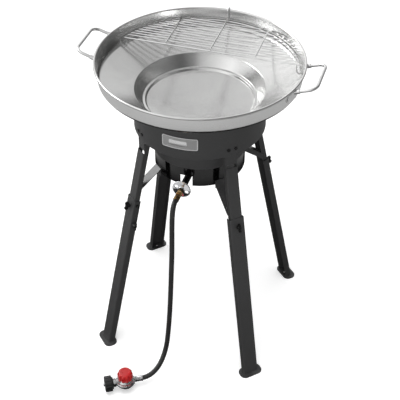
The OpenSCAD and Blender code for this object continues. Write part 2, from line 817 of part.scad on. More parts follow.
// wing screw along +x, with its seat at x = 0 and its tip reach inside
module wing_screw(tip) {
  color(gloss) union() {
    translate([-tip, 0, 0]) rotate([0, 90, 0]) cylinder(r = screw_r, h = tip + 4, $fn = 32);
    translate([3, 0, 0]) rotate([0, 90, 0]) cylinder(r1 = 6.2, r2 = 4.8, h = 10, $fn = 32);
    for (s = [-1, 1]) translate([10.5, 1.7, s * 7.4]) rotate([90, 0, 0])
      cylinder(r = 6, h = 3.4, $fn = 40);
    translate([5, -1.7, -7]) cube([9.5, 3.4, 14]);
  }
}

module web_screw(a) { web_screw_at(a) wing_screw(-upper_x - screw_gap); }
module web_screw_front_left() { web_screw(az_fl); }
module web_screw_front_right() { web_screw(az_fr); }
module web_screw_back_left() { web_screw(az_bl); }
module web_screw_back_right() { web_screw(az_br); }

side_tip = (leg_w - upper_w) / 2 - screw_gap;
module side_screw_front_left() { side_screw_at(az_fl) wing_screw(side_tip); }
module side_screw_back_right() { side_screw_at(az_br) wing_screw(side_tip); }

module guide_bolt() {
  color(gloss) rotate([0, 90, 0]) {
    translate([0, 0, -side_tip]) cylinder(r = 2, h = side_tip + 6, $fn = 24);
    translate([0, 0, touch]) cylinder(r = 4.6, h = 2.8, $fn = 6);
    translate([0, 0, 2]) cylinder(r = 3, h = 5, $fn = 24);
  }
}
module guide_bolt_front_left() { guide_bolt_at(az_fl) guide_bolt(); }
module guide_bolt_back_right() { guide_bolt_at(az_br) guide_bolt(); }

// ---------------------------------------------------------------- what is drawn

comal_pan();
handle_left();
handle_right();
handle_brackets();
rack_frame();
rack_wires();
rack_cross_wires();
wind_ring();
name_plate();
ring_screws();
burner_bowl();
base_shroud();
shroud_bolts();
burner_head();
burner_pipe();
burner_crossbar();
crossbar_bolts();
stay_rods();
shutter_collar();
orifice_spud();
air_shutter();
orifice_fitting();
hose_nut();
gas_hose();
hose_ferrule();
regulator_body();
regulator_screws();
regulator_dial();
regulator_inlet();
tank_nut();
upper_leg_front_left();
upper_leg_front_right();
upper_leg_back_left();
upper_leg_back_right();
brace_front_left();
brace_front_right();
brace_back_left();
brace_back_right();
brace_bolts();
lower_leg_front_left();
lower_leg_front_right();
lower_leg_back_left();
lower_leg_back_right();
foot_front_left();
foot_front_right();
foot_back_left();
foot_back_right();
web_screw_front_left();
web_screw_front_right();
web_screw_back_left();
web_screw_back_right();
side_screw_front_left();
side_screw_back_right();
guide_bolt_front_left();
guide_bolt_back_right();
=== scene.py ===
import math

import bmesh
import bpy
from mathutils import Matrix, Vector


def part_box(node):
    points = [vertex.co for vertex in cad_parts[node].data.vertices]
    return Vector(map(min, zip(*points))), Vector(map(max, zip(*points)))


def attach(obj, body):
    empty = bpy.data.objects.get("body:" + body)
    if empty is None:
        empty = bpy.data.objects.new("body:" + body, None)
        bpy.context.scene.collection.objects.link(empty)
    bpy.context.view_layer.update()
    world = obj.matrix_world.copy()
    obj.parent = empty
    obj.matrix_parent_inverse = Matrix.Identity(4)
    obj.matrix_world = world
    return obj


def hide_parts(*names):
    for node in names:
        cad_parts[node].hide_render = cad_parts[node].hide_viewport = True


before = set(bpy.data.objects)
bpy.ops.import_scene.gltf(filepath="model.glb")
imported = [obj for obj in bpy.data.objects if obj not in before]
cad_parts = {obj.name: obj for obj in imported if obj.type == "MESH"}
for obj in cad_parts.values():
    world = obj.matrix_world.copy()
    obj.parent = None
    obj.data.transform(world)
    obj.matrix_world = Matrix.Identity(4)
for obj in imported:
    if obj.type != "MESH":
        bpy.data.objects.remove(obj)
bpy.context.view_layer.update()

MM = 0.001
TAU = 2 * math.pi

CORNERS = ("front_left", "front_right", "back_left", "back_right")
SCREWED_TWICE = ("front_left", "back_right")    # legs with a side screw and a guide bolt


# ---------------------------------------------------------------- mesh building

class Shape:
    """Vertices and faces gathered from several closed shells, in metres."""

    def __init__(self):
        self.points = []
        self.faces = []

    def add(self, points, faces, matrix=Matrix.Identity(4)):
        base = len(self.points)
        self.points += [matrix @ Vector(p) for p in points]
        self.faces += [[base + i for i in face] for face in faces]
        return self

    def revolve(self, outline, sides=96, matrix=Matrix.Identity(4), reshape=None):
        """Turns a closed outline of (radius, height) about Z. reshape(radius, height, angle)
        gives a point's own radius, for flats, flutes and threads."""
        points, faces, rows = [], [], []
        for r, z in outline:
            start = len(points)
            if r < 1e-7:
                rows.append([start] * sides)
                points.append((0, 0, z))
                continue
            rows.append([start + k for k in range(sides)])
            for k in range(sides):
                angle = TAU * k / sides
                own = reshape(r, z, angle) if reshape else r
                points.append((own * math.cos(angle), own * math.sin(angle), z))
        for i, row in enumerate(rows):
            after = rows[(i + 1) % len(rows)]
            for k in range(sides):
                j = (k + 1) % sides
                face = list(dict.fromkeys((row[k], row[j], after[j], after[k])))
                if len(face) > 2:
                    faces.append(face)
        return self.add(points, faces, matrix)

    def sweep(self, path, radius, sides=20, matrix=Matrix.Identity(4), round_ends=True):
        """A round rod along a path. radius is a number, or one number for each point."""
        path = [Vector(p) for p in path]
        radii = radius if isinstance(radius, list) else [radius] * len(path)
        heading = [(path[min(i + 1, len(path) - 1)] - path[max(i - 1, 0)]).normalized()
                   for i in range(len(path))]
        side = heading[0].orthogonal().normalized()
        rings = []
        for i, point in enumerate(path):
            if i:
                side = heading[i - 1].rotation_difference(heading[i]) @ side
            other = heading[i].cross(side)
            rings.append((point, side.copy(), other, radii[i]))
        if round_ends:
            rings = dome(rings[0], -heading[0])[::-1] + rings[1:-1] + dome(rings[-1], heading[-1])
        points, faces = [], []
        for centre, u, v, r in rings:
            for k in range(sides):
                a = TAU * k / sides
                points.append(centre + r * (math.cos(a) * u + math.sin(a) * v))
        for i in range(len(rings) - 1):
            for k in range(sides):
                j = (k + 1) % sides
                faces.append((i * sides + k, i * sides + j, (i + 1) * sides + j, (i + 1) * sides + k))
        faces.append(list(range(sides))[::-1])
        faces.append([(len(rings) - 1) * sides + k for k in range(sides)])
        return self.add(points, faces, matrix)

    def slab(self, outline, levels, matrix=Matrix.Identity(4), strips=False):
        """Stacks one outline function at several levels of (inset, height) and caps both ends.
        strips caps a mirrored outline with strips across it, so that it can be bent."""
        loops = [[(x, y, z) for x, y in outline(inset)] for inset, z in levels]
        count = len(loops[0])
        points = [p for loop in loops for p in loop]
        last = (len(loops) - 1) * count
        if strips:
            faces = [(base + i, base + i + 1, base + count - 2 - i, base + count - 1 - i)
                     for base in (0, last) for i in range(count // 2 - 1)]
        else:
            faces = [list(range(count))[::-1], [last + k for k in range(count)]]
        for i in range(len(loops) - 1):
            for k in range(count):
                j = (k + 1) % count
                faces.append((i * count + k, i * count + j, (i + 1) * count + j, (i + 1) * count + k))
        return self.add(points, faces, matrix)

    def link(self, name):
        """Makes the object, with all its faces turned outwards, and puts it in the scene."""
        mesh = bpy.data.meshes.new(name)
        mesh.from_pydata(self.points, [], self.faces)
        work = bmesh.new()
        work.from_mesh(mesh)
        bmesh.ops.recalc_face_normals(work, faces=work.faces)
        work.to_mesh(mesh)
        work.free()
        made = bpy.data.objects.new(name, mesh)
        bpy.context.scene.collection.objects.link(made)
        return made

    def piece(self, name, material, body, slot, stands_for=(), sharp=35):
        """Makes the object, sets its shading and hangs it on its body."""
        made = self.link(name)
        made.data.shade_smooth()
        made.data.set_sharp_from_angle(angle=math.radians(sharp))
        made.data.materials.append(material)
        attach(made, body)
        if stands_for:
            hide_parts(*stands_for)
        return made


def dome(ring, outward):
    """Rings that close a rod's end with a rounded edge, from the rod outwards."""
    centre, u, v, r = ring
    soft = 0.35 * r
    steps = 4
    made = []
    for i in range(steps + 1):
        a = 0.5 * math.pi * i / steps
        made.append((centre + outward * soft * (math.sin(a) - 1), u, v, r - soft * (1 - math.cos(a))))
    return made


def rounded(corners, steps=6):
    """Path through corners of (point, bend radius), with every corner turned into an arc."""
    path = []
    for i, (point, radius) in enumerate(corners):
        p = Vector(point)
        if i in (0, len(corners) - 1) or radius <= 0:
            path.append(p)
            continue
        back = (Vector(corners[i - 1][0]) - p).normalized()
        ahead = (Vector(corners[i + 1][0]) - p).normalized()
        half = back.angle(ahead) / 2
        if half > math.radians(89.5):
            path.append(p)
            continue
        start = p + back * radius / math.tan(half)
        end = p + ahead * radius / math.tan(half)
        centre = p + (back + ahead).normalized() * radius / math.sin(half)
        u, v = start - centre, end - centre
        turn = math.pi - 2 * half
        for k in range(steps + 1):
            t = k / steps
            path.append(centre + (math.sin((1 - t) * turn) * u + math.sin(t * turn) * v) / math.sin(turn))
    return path


def offset(path, distance):
    """The same path of (x, y) points moved sideways to its right."""
    made = []
    for i, point in enumerate(path):
        before = (point - path[i - 1]).normalized() if i else None
        after = (path[i + 1] - point).normalized() if i < len(path) - 1 else None
        first, second = before or after, after or before
        normal = (Vector((first.y, -first.x)) + Vector((second.y, -second.x))).normalized()
        made.append(point + normal * distance / normal.dot(Vector((first.y, -first.x))))
    return made


def arc(centre, radius, start, end, steps):
    """Points on an arc in a plane, angles in degrees."""
    return [Vector((centre[0] + radius * math.cos(a), centre[1] + radius * math.sin(a)))
            for a in (math.radians(start + (end - start) * k / steps) for k in range(steps + 1))]


def rounded_rectangle(width, height, corner, steps=8):
    """Function that gives the outline of a rounded rectangle for an inset."""
    def outline(inset):
        w, h, c = width / 2 - inset, height / 2 - inset, max(corner - inset, 0.1 * MM)
        spots = ((w - c, h - c, 0), (c - w, h - c, 90), (c - w, c - h, 180), (w - c, c - h, 270))
        return [tuple(p) for x, y, a in spots for p in arc((x, y), c, a, a + 90, steps)]
    return outline


def hexagon(across_flats):
    """Reshape function that cuts a round bar down to a hexagon."""
    def reshape(r, z, angle):
        return min(r, across_flats / 2 / math.cos((angle % (TAU / 6)) - TAU / 12))
    return reshape


def scallops(count, distance, radius, first=0.0, low=-1.0):
    """Reshape function that cuts round flutes into a rim, above the height low."""
    def reshape(r, z, angle):
        if z < low:
            return r
        near = (angle - first + TAU / count / 2) % (TAU / count) - TAU / count / 2
        across = abs(distance * math.sin(near))
        if across >= radius:
            return r
        return min(r, distance * math.cos(near) - math.sqrt(radius ** 2 - across ** 2))
    return reshape


def thread(depth, pitch, low, high):
    """Reshape function that cuts a V thread between two heights."""
    def reshape(r, z, angle):
        if not low < z < high:
            return r
        turn = (z / pitch - angle / TAU) % 1
        return r - depth * abs(2 * turn - 1)
    return reshape


def chamfered(r_in, r_out, low, high, edge):
    """Closed outline of a bush with chamfered outer edges. r_in 0 gives a solid one."""
    return [(r_in, low), (r_out - edge, low), (r_out, low + edge), (r_out, high - edge),
            (r_out - edge, high), (r_in, high)]


def frame_at(origin, direction):
    """Matrix that turns +Z to a direction at a point."""
    z = Vector(direction).normalized()
    x = (Vector((0, 0, 1)) if abs(z.z) < 0.9 else Vector((0, 1, 0))).cross(z).normalized()
    made = Matrix((x, z.cross(x), z)).transposed().to_4x4()
    made.translation = Vector(origin)
    return made


def spin(degrees):
    return Matrix.Rotation(math.radians(degrees), 4, "Z")


# ---------------------------------------------------------------- node materials

def add_node(tree, kind, inputs=None, **settings):
    """Adds a shader node. inputs holds plain values or output sockets, by input name or number."""
    made = tree.nodes.new("ShaderNode" + kind)
    for key, value in settings.items():
        setattr(made, key, value)
    for key, value in (inputs or {}).items():
        if isinstance(value, bpy.types.NodeSocket):
            tree.links.new(value, made.inputs[key])
        else:
            made.inputs[key].default_value = value
    return made


class Finish:
    """One procedural material. Most methods add nodes and return an output socket."""

    def __init__(self, name):
        self.material = bpy.data.materials.new(name)
        self.material.use_nodes = True
        self.tree = self.material.node_tree
        self.tree.nodes.clear()
        self.place = self.node("TexCoord").outputs["Object"]

    def node(self, kind, inputs=None, **settings):
        return add_node(self.tree, kind, inputs, **settings)

    def stretched(self, x, y, z):
        """Object coordinates scaled along each axis, for grain."""
        return self.node("Mapping", {"Vector": self.place, "Scale": (x, y, z)}).outputs[0]

    def polar(self, radial, height, angular):
        """Coordinates of (radius, height, angle) about the vertical axis, each scaled."""
        axes = self.node("SeparateXYZ", {0: self.place}).outputs
        reach = self.math("POWER", self.math("ADD", self.math("MULTIPLY", axes[0], axes[0]),
                                             self.math("MULTIPLY", axes[1], axes[1])), 0.5)
        angle = self.math("ARCTAN2", axes[1], axes[0])
        return self.node("CombineXYZ", {0: self.math("MULTIPLY", reach, radial),
                                        1: self.math("MULTIPLY", axes[2], height),
                                        2: self.math("MULTIPLY", angle, angular)}).outputs[0]

    def noise(self, scale, detail=3.0, rough=0.5, vector=None, warp=0.0):
        return self.node("TexNoise", {"Vector": vector or self.place, "Scale": scale, "Detail": detail,
                                      "Roughness": rough, "Distortion": warp}).outputs["Fac"]

    def cells(self, scale, vector=None):
        return self.node("TexVoronoi", {"Vector": vector or self.place, "Scale": scale}).outputs["Distance"]

    def math(self, operation, a, b=0.0):
        return self.node("Math", {0: a, 1: b}, operation=operation).outputs[0]

    def span(self, value, low, high, to_low=0.0, to_high=1.0):
        """Maps a value from one range to another, and clamps it."""
        return self.node("MapRange", {"Value": value, "From Min": low, "From Max": high,
                                      "To Min": to_low, "To Max": to_high}).outputs[0]

    def mix(self, share, a, b):
        """Mixes two colours."""
        return self.node("Mix", {0: share, 6: a, 7: b}, data_type="RGBA").outputs[2]

    def edges(self, width):
        """Near 1 on outer and inner edges, 0 on flat and gently curved faces."""
        soft = self.node("Bevel", {"Radius": width}, samples=4).outputs[0]
        true = self.node("NewGeometry").outputs["Normal"]
        close = self.node("VectorMath", {0: soft, 1: true}, operation="DOT_PRODUCT").outputs["Value"]
        return self.span(close, 0.995, 0.90)

    def upward(self):
        """1 on faces that look up, 0 on upright and hanging faces."""
        normal = self.node("NewGeometry").outputs["Normal"]
        return self.span(self.node("SeparateXYZ", {0: normal}).outputs[2], 0.2, 0.95)

    def bump(self, height, depth, under=None):
        inputs = {"Height": height, "Distance": depth, "Strength": 1.0}
        if under:
            inputs["Normal"] = under
        return self.node("Bump", inputs).outputs[0]

    def done(self, **inputs):
        """Adds the surface shader. Underscores in the names stand for spaces."""
        named = {key.replace("_", " "): value for key, value in inputs.items()}
        surface = self.node("BsdfPrincipled", named)
        self.node("OutputMaterial", {"Surface": surface.outputs[0]})
        return self.material


def grey(level):
    return (level, level, level, 1.0)


def tint(r, g, b):
    return (r, g, b, 1.0)


def stainless_pan():
    """Bright rolled sheet with a turned grain, faint wiping marks and soft waves."""
    f = Finish("stainless_pan")
    grain = f.noise(1.0, 2.0, 0.6, f.polar(2600, 2600, 3.0))
    marks = f.noise(9.0, 4.0, 0.6, warp=0.8)
    scratches = f.span(f.noise(1.0, 1.0, 0.5, f.polar(900, 900, 14.0)), 0.62, 0.70)
    colour = f.mix(f.span(marks, 0.35, 0.7), tint(0.65, 0.65, 0.645), tint(0.71, 0.71, 0.705))
    rough = f.math("ADD", f.span(marks, 0.3, 0.75, 0.16, 0.22), f.math("MULTIPLY", scratches, 0.06))
    waves = f.bump(f.noise(5.0, 1.0), 0.06 * MM)
    fine = f.bump(grain, 0.002 * MM, waves)
    return f.done(Base_Color=colour, Metallic=1.0, Roughness=rough, Normal=fine)


def bright_wire():
    """Drawn and polished stainless rod."""
    f = Finish("bright_wire")
    streak = f.noise(60, 4.0, 0.6)
    fine = f.bump(f.noise(1500, 2.0), 0.006 * MM)
    return f.done(Base_Color=f.mix(streak, grey(0.62), grey(0.80)), Metallic=1.0,
                  Roughness=f.span(streak, 0.3, 0.7, 0.10, 0.22), Normal=fine)


def chrome():
    """Plated fittings with a few dull fingermarks."""
    f = Finish("chrome")
    marks = f.noise(70, 3.0, 0.6, warp=0.5)
    return f.done(Base_Color=f.mix(marks, tint(0.74, 0.74, 0.76), tint(0.86, 0.86, 0.87)), Metallic=1.0,
                  Roughness=f.span(marks, 0.4, 0.75, 0.06, 0.16),
                  Normal=f.bump(f.noise(500, 2.0), 0.01 * MM))


def coated_steel(name, base, rough, worn):
    """Textured powder coat over steel, with dust on top faces and thin wear on edges."""
    f = Finish(name)
    patches = f.noise(7, 4.0, 0.6)
    peel = f.noise(850, 2.0, 0.55)
    specks = f.span(f.noise(320, 1.0), 0.68, 0.74)
    body = f.mix(patches, grey(base * 0.88), tint(base * 1.10, base * 1.10, base * 1.12))
    dusty = f.mix(f.math("MULTIPLY", f.upward(), f.span(f.noise(26, 5.0, 0.7), 0.4, 0.8, 0.02, 0.16)),
                  body, grey(0.30))
    speckled = f.mix(f.math("MULTIPLY", specks, 0.25), dusty, grey(base * 2.5))
    rubbed = f.math("MULTIPLY", f.edges(0.7 * MM), f.span(f.noise(45, 5.0, 0.75), 0.5, 0.66, 0.0, worn))
    colour = f.mix(rubbed, speckled, grey(0.30))
    sheen = f.math("SUBTRACT", f.span(patches, 0.3, 0.7, rough, rough + 0.08),
                   f.math("MULTIPLY", rubbed, 0.15))
    return f.done(Base_Color=colour, Metallic=f.math("MULTIPLY", rubbed, 0.6), Roughness=sheen,
                  Specular_IOR_Level=0.4, Normal=f.bump(peel, 0.05 * MM))


def glossy_enamel():
    """Black fired enamel with a deep gloss, soft waves and a dust film."""
    f = Finish("glossy_enamel")
    film = f.noise(18, 5.0, 0.65)
    colour = f.mix(f.span(film, 0.45, 0.85), grey(0.001), grey(0.004))
    waves = f.bump(f.noise(14, 1.0), 0.1 * MM)
    return f.done(Base_Color=colour, Roughness=f.span(film, 0.3, 0.75, 0.06, 0.16),
                  Normal=f.bump(f.noise(700, 2.0), 0.006 * MM, waves))


def black_oxide():
    """Blackened fasteners, a little rubbed on their edges."""
    f = Finish("black_oxide")
    mottle = f.noise(160, 4.0, 0.65)
    rubbed = f.math("MULTIPLY", f.edges(0.5 * MM), f.span(mottle, 0.45, 0.65, 0.0, 0.6))
    colour = f.mix(rubbed, f.mix(mottle, grey(0.010), grey(0.030)), grey(0.25))
    return f.done(Base_Color=colour, Metallic=0.75, Roughness=f.span(mottle, 0.3, 0.7, 0.35, 0.55),
                  Normal=f.bump(f.noise(900, 2.0), 0.02 * MM))


def cast_iron():
    """Sand-cast skin with a trace of rust in its low spots."""
    f = Finish("cast_iron")
    skin = f.noise(420, 6.0, 0.7)
    rust = f.span(f.noise(38, 5.0, 0.7), 0.58, 0.75, 0.0, 0.5)
    colour = f.mix(rust, f.mix(skin, grey(0.02), grey(0.05)), tint(0.12, 0.05, 0.025))
    return f.done(Base_Color=colour, Metallic=0.4, Roughness=f.span(skin, 0.2, 0.8, 0.55, 0.8),
                  Normal=f.bump(skin, 0.25 * MM))


def dark_steel(name="dark_steel", warm=0.0):
    """Oiled black steel turned on a lathe. warm adds a bronze tone."""
    f = Finish(name)
    marks = f.noise(1.0, 3.0, 0.6, f.stretched(60, 1400, 60))
    colour = f.mix(marks, tint(0.012 + warm, 0.012 + warm * 0.6, 0.012),
                   tint(0.045 + warm, 0.042 + warm * 0.6, 0.038))
    return f.done(Base_Color=colour, Metallic=0.85, Roughness=f.span(marks, 0.3, 0.7, 0.28, 0.45),
                  Normal=f.bump(marks, 0.02 * MM))


def brass(name, low, high, rough):
    """Machined brass with tool marks and patches of tarnish."""
    f = Finish(name)
    tarnish = f.noise(120, 4.0, 0.65)
    tool = f.noise(1.0, 2.0, 0.5, f.stretched(80, 2200, 80))
    return f.done(Base_Color=f.mix(f.span(tarnish, 0.3, 0.75), high, low), Metallic=1.0,
                  Roughness=f.span(tarnish, 0.3, 0.75, rough, rough + 0.18),
                  Normal=f.bump(tool, 0.015 * MM))


def hose_rubber():
    """Matt extruded rubber with fine lines along it and a dusty bloom."""
    f = Finish("hose_rubber")
    bloom = f.noise(34, 5.0, 0.7)
    lines = f.noise(1.0, 2.0, 0.6, f.stretched(1500, 1500, 40))
    colour = f.mix(f.span(bloom, 0.35, 0.8), grey(0.012), grey(0.026))
    return f.done(Base_Color=colour, Roughness=f.span(bloom, 0.3, 0.8, 0.42, 0.62),
                  Specular_IOR_Level=0.35, Sheen_Weight=0.05,
                  Normal=f.bump(f.noise(1100, 2.0), 0.02 * MM, f.bump(lines, 0.05 * MM)))


def zinc():
    """Die-cast zinc with a bright tumbled skin."""
    f = Finish("zinc")
    skin = f.noise(260, 5.0, 0.65)
    cloud = f.noise(40, 3.0)
    return f.done(Base_Color=f.mix(cloud, tint(0.52, 0.52, 0.53), tint(0.70, 0.70, 0.70)), Metallic=1.0,
                  Roughness=f.span(skin, 0.25, 0.75, 0.18, 0.32), Normal=f.bump(skin, 0.06 * MM))


def moulded(name, low, high, rough, coat):
    """Moulded plastic with a fine spark texture and light handling scuffs."""
    f = Finish(name)
    scuffs = f.noise(90, 5.0, 0.7, warp=0.6)
    texture = f.noise(1400, 2.0, 0.6)
    return f.done(Base_Color=f.mix(f.span(scuffs, 0.3, 0.8), low, high),
                  Roughness=f.span(scuffs, 0.35, 0.8, rough, rough + 0.12),
                  Coat_Weight=coat, Coat_Roughness=0.08, Normal=f.bump(texture, 0.012 * MM))


def plate_metal(name, level, rough, stipple):
    """Stamped plate metal: a brushed face, or a stippled field."""
    f = Finish(name)
    grain = f.noise(1.0, 3.0, 0.6, f.stretched(60, 60, 2600))
    relief = f.span(f.cells(720), 0.15, 0.55) if stipple else grain
    return f.done(Base_Color=f.mix(grain, grey(level * 0.85), grey(level)), Metallic=1.0,
                  Roughness=f.span(grain, 0.3, 0.7, rough, rough + 0.12),
                  Normal=f.bump(relief, (0.25 if stipple else 0.01) * MM))


FLOOR_SEEN = (0.87, 0.89)   # colour range that the camera sees
FLOOR_GLOW = 0.35           # added brightness that only the camera sees
FLOOR_BOUNCE = 0.45         # colour for diffuse light
FLOOR_MIRRORED = 0.52       # colour in mirror-like surfaces, outside the painted shade
MIRRORED_SHADE = 0.02         # painted shade under the cooker, seen only in mirror-like surfaces
MIRRORED_SHADE_EDGE = (0.84, 0.90)     # radii between which the painted shade fades out, in metres


def floor_paint():
    """Plain pale studio floor. It looks evenly lit to the camera; mirror-like surfaces see it
    greyer, with painted shade under the cooker that only reflections show."""
    f = Finish("studio_floor")
    soft = f.noise(1.5, 2.0)
    rays = f.node("LightPath").outputs
    reach = f.node("VectorMath", {0: f.place}, operation="LENGTH").outputs["Value"]
    # painted shade: the floor near the cooker is dark only in reflections, fading out between the edge radii
    mirrored = f.mix(f.span(reach, *MIRRORED_SHADE_EDGE), grey(MIRRORED_SHADE), grey(FLOOR_MIRRORED))
    lit = f.mix(rays["Is Glossy Ray"], grey(FLOOR_BOUNCE), mirrored)
    colour = f.mix(rays["Is Camera Ray"], lit, f.mix(soft, *map(grey, FLOOR_SEEN)))
    return f.done(Base_Color=colour, Roughness=0.9, Specular_IOR_Level=0.0, Emission_Color=grey(1.0),
                  Emission_Strength=f.math("MULTIPLY", rays["Is Camera Ray"], FLOOR_GLOW))


STAINLESS = stainless_pan()
WIRE = bright_wire()
CHROME = chrome()
COAT = coated_steel("powder_coat", 0.040, 0.48, 0.25)
BRACE_COAT = coated_steel("brace_coat", 0.040, 0.26, 0.25)
FOOT_COAT = coated_steel("foot_coat", 0.020, 0.40, 0.45)
ENAMEL = glossy_enamel()
OXIDE = black_oxide()
IRON = cast_iron()
STEEL = dark_steel()
SPUD = dark_steel("bronzed_steel", 0.03)
BRASS = brass("brass", tint(0.42, 0.25, 0.09), tint(0.78, 0.52, 0.24), 0.22)
DARK_BRASS = brass("dark_brass", tint(0.09, 0.055, 0.02), tint(0.26, 0.16, 0.06), 0.30)
RUBBER = hose_rubber()
ZINC = zinc()
RED = moulded("red_plastic", tint(0.42, 0.008, 0.010), tint(0.52, 0.016, 0.016), 0.26, 0.5)
BLACK = moulded("black_plastic", grey(0.006), grey(0.016), 0.42, 0.15)
PLATE = plate_metal("plate_face", 0.88, 0.25, False)
PLATE_FIELD = plate_metal("plate_field", 0.52, 0.40, True)


# ---------------------------------------------------------------- CAD nodes that stay

def soften(node, width, segments=2):
    """Rounds the sharp edges of a CAD node with modifiers; its own mesh stays as it is."""
    weld = node.modifiers.new("weld", "WELD")
    weld.merge_threshold = 0.002 * MM
    bevel = node.modifiers.new("bevel", "BEVEL")
    bevel.limit_method = "ANGLE"
    bevel.angle_limit = math.radians(32)
    bevel.width = width
    bevel.segments = segments
    bevel.use_clamp_overlap = True
    shade = node.modifiers.new("shade", "WEIGHTED_NORMAL")
    shade.keep_sharp = False


def paint(node_name, material, width=0.3 * MM):
    """Gives a CAD node its finish and softened edges."""
    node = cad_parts[node_name]
    if not node.material_slots:
        node.data.materials.append(material)
    for place in node.material_slots:
        place.material = material
    if width:
        soften(node, width)


def paint_kept_nodes():
    """The pressed, cast and bolted parts whose CAD shape is already right."""
    for corner in CORNERS:
        paint("upper_leg_" + corner, COAT, 0.35 * MM)
        paint("lower_leg_" + corner, COAT, 0.35 * MM)
        paint("brace_" + corner, BRACE_COAT, 0.35 * MM)
        paint("foot_" + corner, FOOT_COAT, 0.8 * MM)
        paint("web_screw_" + corner, OXIDE, 0.7 * MM)
    for corner in SCREWED_TWICE:
        paint("side_screw_" + corner, OXIDE, 0.7 * MM)
        paint("guide_bolt_" + corner, OXIDE, 0.4 * MM)
    for name in ("ring_screws", "shroud_bolts", "crossbar_bolts", "brace_bolts"):
        paint(name, OXIDE, 0.4 * MM)
    paint("burner_bowl", COAT, 0.3 * MM)
    paint("base_shroud", ENAMEL, 0.3 * MM)
    paint("burner_head", IRON, 0.8 * MM)
    paint("burner_pipe", STEEL, 0.5 * MM)
    paint("burner_crossbar", COAT, 0.3 * MM)
    paint("stay_rods", WIRE, 0.2 * MM)
    paint("regulator_screws", CHROME, 0.2 * MM)
    paint("handle_brackets", WIRE, 0.8 * MM)


# ---------------------------------------------------------------- pan

PAN_SHEET = 1.5 * MM
BEAD = 3 * MM


def pan_outline():
    """Section of the pan: sunken dish, ledge, well wall, sloping floor, wall and rolled rim."""
    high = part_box("comal_pan")[1]
    rim_r, rim_z = high.x, high.z
    dish_r, dish_rim_z, sag = 144 * MM, rim_z - 126.6 * MM, 9 * MM
    steps = 20
    dish = [Vector((dish_r * i / steps, dish_rim_z - sag * (1 - (i / steps) ** 2)))
            for i in range(steps)]
    ledge_z = rim_z - 120.6 * MM
    ledge_in = Vector((147.2 * MM, ledge_z))
    ledge_out = Vector((154.5 * MM, ledge_z + 0.4 * MM))
    well_top = Vector((175 * MM, rim_z - 86.4 * MM))
    wall_foot = Vector((rim_r - 11.5 * MM, rim_z - 49 * MM))
    wall_top = Vector((rim_r - 6.1 * MM, rim_z - BEAD))
    corners = [(dish[-1], 0), (Vector((dish_r, dish_rim_z)), 1.2 * MM), (ledge_in, 1.4 * MM),
               (ledge_out, 2.5 * MM), (well_top, 4.5 * MM), (wall_foot, 12 * MM), (wall_top, 0)]
    top = dish[:-1] + rounded(corners, 8)
    bead_centre = (rim_r - BEAD, rim_z - BEAD)
    roll = arc(bead_centre, BEAD, 175, -125, 28)
    return top + roll + offset(top, PAN_SHEET)[::-1]


def make_pan():
    """The whole pan is one turned sheet."""
    Shape().revolve([tuple(p) for p in pan_outline()], 320).piece(
        "pan_shell", STAINLESS, "pan", "stainless", ["comal_pan"])


def make_handle(name, turn):
    """Bent rod whose two ends run into the bracket bosses."""
    low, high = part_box("handle_right")
    rod, bend = 4 * MM, 22 * MM
    rise = math.radians(17.1)
    reach, top, half = high.x - rod, high.z - rod, high.y - rod
    root_x, root_z = low.x + rod * math.sin(rise), low.z + rod * math.cos(rise)
    corners = [(Vector((root_x, -half, root_z)), 0), (Vector((reach, -half, top)), bend),
               (Vector((reach, half, top)), bend), (Vector((root_x, half, root_z)), 0)]
    shape = Shape().sweep(rounded(corners, 14), rod, 28, spin(turn))
    shape.piece(name + "_rod", WIRE, "pan", "bright_wire", [name])


# ---------------------------------------------------------------- rack

def make_rack():
    """Bow, front wire and feet; thin wires across; three cross bars, the middle one hooked."""
    low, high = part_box("rack_frame")
    wire = 2 * MM
    reach = high.y - wire
    z = high.z - wire - 0.4 * MM
    front = 94 * MM
    foot_in, bend_in = 7 * MM, 26 * MM    # how far in from the bow's ends a foot stands and starts
    half = math.sqrt(reach ** 2 - front ** 2)
    start = math.degrees(math.atan2(front, half))
    shape = Shape()
    bow = [Vector((p.x, p.y, z)) for p in arc((0, 0), reach, start, 180 - start, 120)]
    shape.sweep(bow, wire, 20)
    shape.sweep([(-half - wire, front, z), (half + wire, front, z)], wire, 20)
    for side in (-1, 1):
        x = side * (half - foot_in)
        bend = [(Vector((side * (half - bend_in), front + 0.2 * MM, z)), 0),
                (Vector((x, front, z)), 5 * MM), (Vector((x, front, low.z)), 0)]
        shape.sweep(rounded(bend, 8), wire, 20)
    shape.piece("rack_frame_wire", WIRE, "rack", "bright_wire", ["rack_frame"])

    low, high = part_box("rack_wires")
    thin = (high.z - low.z) / 2
    z = (high.z + low.z) / 2
    shape = Shape()
    count = 12
    pitch = (high.y - low.y - 2 * thin) / (count - 1)
    for i in range(count):
        y = low.y + thin + i * pitch
        half = math.sqrt((reach + 1 * MM) ** 2 - y ** 2)
        shape.sweep([(-half, y, z), (half, y, z)], thin, 16)
    shape.piece("rack_thin_wires", WIRE, "rack", "bright_wire", ["rack_wires"])

    low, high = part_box("rack_cross_wires")
    cross = 1.75 * MM
    z = low.z + cross
    outer = high.x - cross
    end = math.sqrt((reach + 1 * MM) ** 2 - outer ** 2)
    shape = Shape()
    for side in (-1, 1):
        shape.sweep([(side * outer, low.y, z), (side * outer, end, z)], cross, 16)
    hook_y, hook_z = high.y - cross, high.z - cross
    hook = [(Vector((0, low.y, z)), 0), (Vector((0, reach - 1.5 * MM, z)), 3.2 * MM),
            (Vector((0, reach + 1.5 * MM, hook_z)), 3.2 * MM), (Vector((0, hook_y, hook_z)), 3.2 * MM),
            (Vector((0, hook_y, hook_z - 9 * MM)), 0)]
    shape.sweep(rounded(hook, 8), cross, 16)
    shape.piece("rack_cross_bars", WIRE, "rack", "bright_wire", ["rack_cross_wires"])


# ---------------------------------------------------------------- housing

